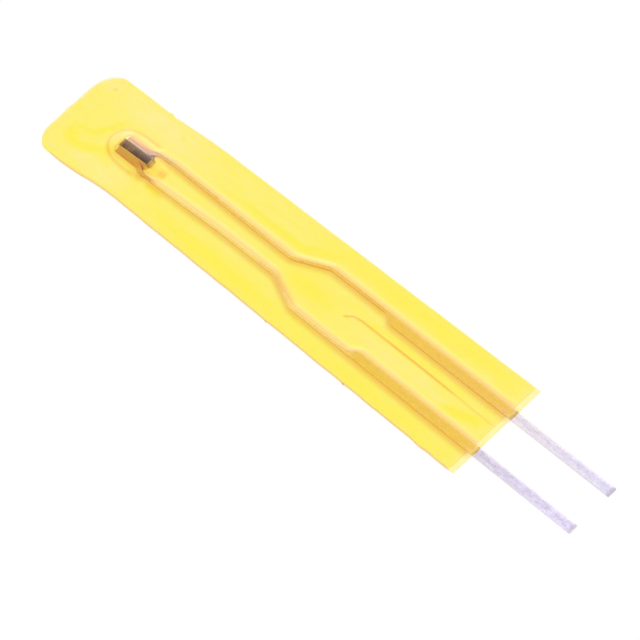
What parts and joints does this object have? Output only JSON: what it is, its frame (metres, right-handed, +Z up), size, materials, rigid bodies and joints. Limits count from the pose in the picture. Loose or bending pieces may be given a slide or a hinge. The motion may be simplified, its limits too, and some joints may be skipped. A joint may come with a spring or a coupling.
{
  "type": "thin film thermistor",
  "caption": "Flat temperature sensor: a small ceramic chip between the ends of flat leads, sealed in a thin amber film strip, with bare lead ends for soldering.",
  "frame": {"origin": "centre of the bounding box in X and Y, on the surface the base film lies on", "axes": "+X along the strip towards the chip, +Y to the left seen from the bare leads, +Z up, out of the cover film"},
  "size_m": [0.0298, 0.0038, 0.0003],
  "materials": {
    "film": "glossy, see-through amber",
    "tinned_lead": "matte tin",
    "chip_ceramic": "dull, sawn",
    "electrode": "satin silver",
    "solder": "satin"
  },
  "bodies": {
    "root": {"cover_film": "film", "base_film": "film", "lead_left": "tinned_lead", "lead_right": "tinned_lead", "thermistor_chip": "chip_ceramic", "electrode_left": "electrode", "electrode_right": "electrode", "solder_left": "solder", "solder_right": "solder"}
  },
  "joints": []
}
